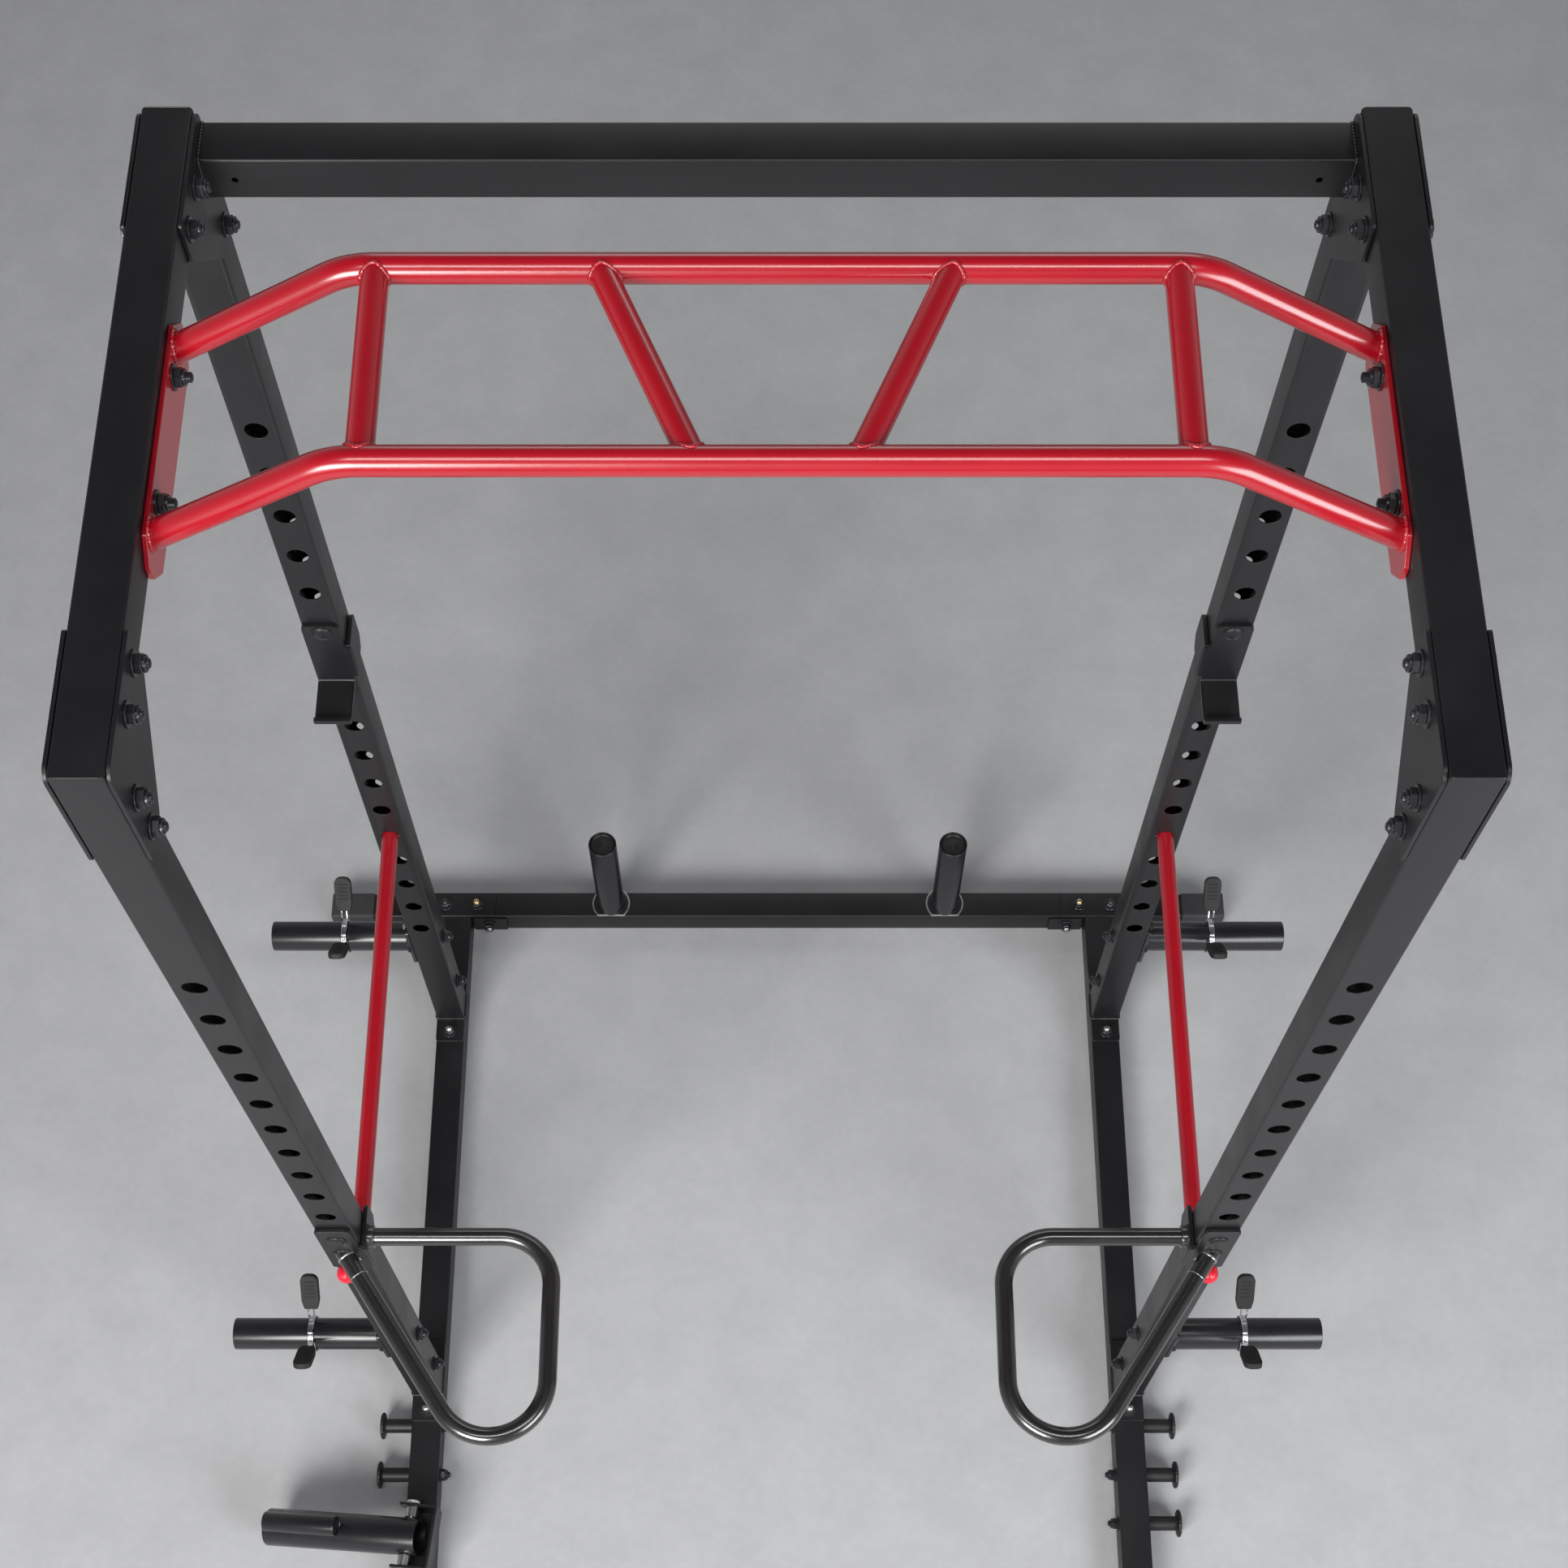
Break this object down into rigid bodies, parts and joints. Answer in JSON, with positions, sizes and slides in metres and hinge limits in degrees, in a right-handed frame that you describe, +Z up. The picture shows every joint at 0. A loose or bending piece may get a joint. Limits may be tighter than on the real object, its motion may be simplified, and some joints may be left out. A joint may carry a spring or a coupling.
{
  "type": "power cage",
  "caption": "Free-standing power cage with holed uprights, multi-grip pull-up bar, plate storage, landmine, band pegs, J-hooks, safety bars and dip handles.",
  "frame": {"origin": "on the floor at the centre of the cage's bounding box", "axes": "+X to the right of a person who stands in front and faces the cage, +Y from the front to the rear floor crossbeam, +Z up"},
  "size_m": [1.716, 1.36, 2.2213],
  "materials": {
    "frame_black": "black satin powder coat with a fine orange-peel texture",
    "coat_red": "red satin powder coat",
    "sleeve_black": "smooth dark grey coat, half gloss",
    "handle_black": "smooth gloss black coat",
    "rubber_black": "matt moulded rubber",
    "plastic_black": "matt moulded plastic",
    "plastic_red": "red moulded plastic, half gloss",
    "spring_steel": "bright plated spring wire",
    "bolt_steel": "zinc-plated steel"
  },
  "bodies": {
    "frame": {"floor_joint_plate_left": "frame_black", "base_beam_left": "frame_black", "rear_outrigger_left": "frame_black", "post_front_left": "frame_black", "post_rear_left": "frame_black", "top_beam_left": "frame_black", "base_cap_left": "plastic_black", "outrigger_foot_left": "rubber_black", "floor_joint_bolt_left": "bolt_steel", "plate_peg_left": "sleeve_black", "gusset_inner_front_left": "frame_black", "gusset_outer_front_left": "frame_black", "plate_sleeve_front_left": "sleeve_black", "gusset_inner_rear_left": "frame_black", "gusset_outer_rear_left": "frame_black", "plate_sleeve_rear_left": "sleeve_black", "floor_joint_plate_right": "frame_black", "base_beam_right": "frame_black", "rear_outrigger_right": "frame_black", "post_front_right": "frame_black", "post_rear_right": "frame_black", "top_beam_right": "frame_black", "base_cap_right": "plastic_black", "outrigger_foot_right": "rubber_black", "floor_joint_bolt_right": "bolt_steel", "plate_peg_right": "sleeve_black", "gusset_inner_front_right": "frame_black", "gusset_outer_front_right": "frame_black", "plate_sleeve_front_right": "sleeve_black", "gusset_inner_rear_right": "frame_black", "gusset_outer_rear_right": "frame_black", "plate_sleeve_rear_right": "sleeve_black", "rear_floor_crossbeam": "frame_black", "rear_top_crossbeam": "frame_black", "pull_up_bar": "coat_red", "landmine_swivel_bolt": "bolt_steel", "band_peg_left_front": "plastic_black", "band_peg_left_rear": "plastic_black", "band_peg_right_rear": "plastic_black", "band_peg_right_middle": "plastic_black", "band_peg_right_front": "plastic_black"},
    "landmine_yoke": {"landmine_yoke": "frame_black", "landmine_pin": "bolt_steel"},
    "landmine_sleeve": {"landmine_sleeve": "sleeve_black"},
    "j_hook_left": {"j_hook_left": "frame_black"},
    "safety_bar_left": {"safety_bar_left": "coat_red"},
    "dip_handle_left": {"dip_handle_left": "handle_black"},
    "pull_knob_left": {"pull_knob_left": "plastic_red"},
    "collar_front_left": {"collar_spring_front_left": "spring_steel"},
    "collar_lever_front_left": {"collar_lever_front_left": "rubber_black"},
    "collar_rear_left": {"collar_spring_rear_left": "spring_steel"},
    "collar_lever_rear_left": {"collar_lever_rear_left": "rubber_black"},
    "j_hook_right": {"j_hook_right": "frame_black"},
    "safety_bar_right": {"safety_bar_right": "coat_red"},
    "dip_handle_right": {"dip_handle_right": "handle_black"},
    "pull_knob_right": {"pull_knob_right": "plastic_red"},
    "collar_front_right": {"collar_spring_front_right": "spring_steel"},
    "collar_lever_front_right": {"collar_lever_front_right": "rubber_black"},
    "collar_rear_right": {"collar_spring_rear_right": "spring_steel"},
    "collar_lever_rear_right": {"collar_lever_rear_right": "rubber_black"}
  },
  "joints": [
    {"name": "landmine_swivel", "type": "hinge", "parent": "frame", "child": "landmine_yoke", "pos_m": [-0.595, -0.5285, 0.05], "axis": [0, 0, 1], "range_deg": [-20, 50]},
    {"name": "landmine_pitch", "type": "hinge", "parent": "landmine_yoke", "child": "landmine_sleeve", "pos_m": [-0.60693, -0.52725, 0.095], "axis": [0.1045, 0.9945, 0], "range_deg": [0, 75]},
    {"name": "j_hook_pull_left", "type": "slide", "parent": "frame", "child": "j_hook_left", "axis": [0, -1, 0], "range_m": [0, 0.06]},
    {"name": "safety_bar_slide_left", "type": "slide", "parent": "frame", "child": "safety_bar_left", "axis": [0, 1, 0], "range_m": [0, 0.06]},
    {"name": "dip_handle_pull_left", "type": "slide", "parent": "frame", "child": "dip_handle_left", "axis": [0, -1, 0], "range_m": [0, 0.06]},
    {"name": "pull_knob_draw_left", "type": "slide", "parent": "dip_handle_left", "child": "pull_knob_left", "axis": [0, -1, 0], "range_m": [0, 0.012], "stiffness_N_per_m": 800},
    {"name": "collar_slide_front_left", "type": "slide", "parent": "frame", "child": "collar_front_left", "axis": [-1, 0, 0], "range_m": [-0.092, 0.113]},
    {"name": "collar_squeeze_front_left", "type": "hinge", "parent": "collar_front_left", "child": "collar_lever_front_left", "pos_m": [-0.735, -0.255, 0.345], "axis": [1, 0, 0], "range_deg": [-25, 0], "stiffness_Nm_per_rad": 1.2},
    {"name": "collar_slide_rear_left", "type": "slide", "parent": "frame", "child": "collar_rear_left", "axis": [-1, 0, 0], "range_m": [-0.092, 0.113]},
    {"name": "collar_squeeze_rear_left", "type": "hinge", "parent": "collar_rear_left", "child": "collar_lever_rear_left", "pos_m": [-0.735, 0.445, 0.345], "axis": [1, 0, 0], "range_deg": [-25, 0], "stiffness_Nm_per_rad": 1.2},
    {"name": "j_hook_pull_right", "type": "slide", "parent": "frame", "child": "j_hook_right", "axis": [0, -1, 0], "range_m": [0, 0.06]},
    {"name": "safety_bar_slide_right", "type": "slide", "parent": "frame", "child": "safety_bar_right", "axis": [0, 1, 0], "range_m": [0, 0.06]},
    {"name": "dip_handle_pull_right", "type": "slide", "parent": "frame", "child": "dip_handle_right", "axis": [0, -1, 0], "range_m": [0, 0.06]},
    {"name": "pull_knob_draw_right", "type": "slide", "parent": "dip_handle_right", "child": "pull_knob_right", "axis": [0, -1, 0], "range_m": [0, 0.012], "stiffness_N_per_m": 800},
    {"name": "collar_slide_front_right", "type": "slide", "parent": "frame", "child": "collar_front_right", "axis": [1, 0, 0], "range_m": [-0.092, 0.113]},
    {"name": "collar_squeeze_front_right", "type": "hinge", "parent": "collar_front_right", "child": "collar_lever_front_right", "pos_m": [0.735, -0.255, 0.345], "axis": [1, 0, 0], "range_deg": [-25, 0], "stiffness_Nm_per_rad": 1.2},
    {"name": "collar_slide_rear_right", "type": "slide", "parent": "frame", "child": "collar_rear_right", "axis": [1, 0, 0], "range_m": [-0.092, 0.113]},
    {"name": "collar_squeeze_rear_right", "type": "hinge", "parent": "collar_rear_right", "child": "collar_lever_rear_right", "pos_m": [0.735, 0.445, 0.345], "axis": [1, 0, 0], "range_deg": [-25, 0], "stiffness_Nm_per_rad": 1.2}
  ]
}
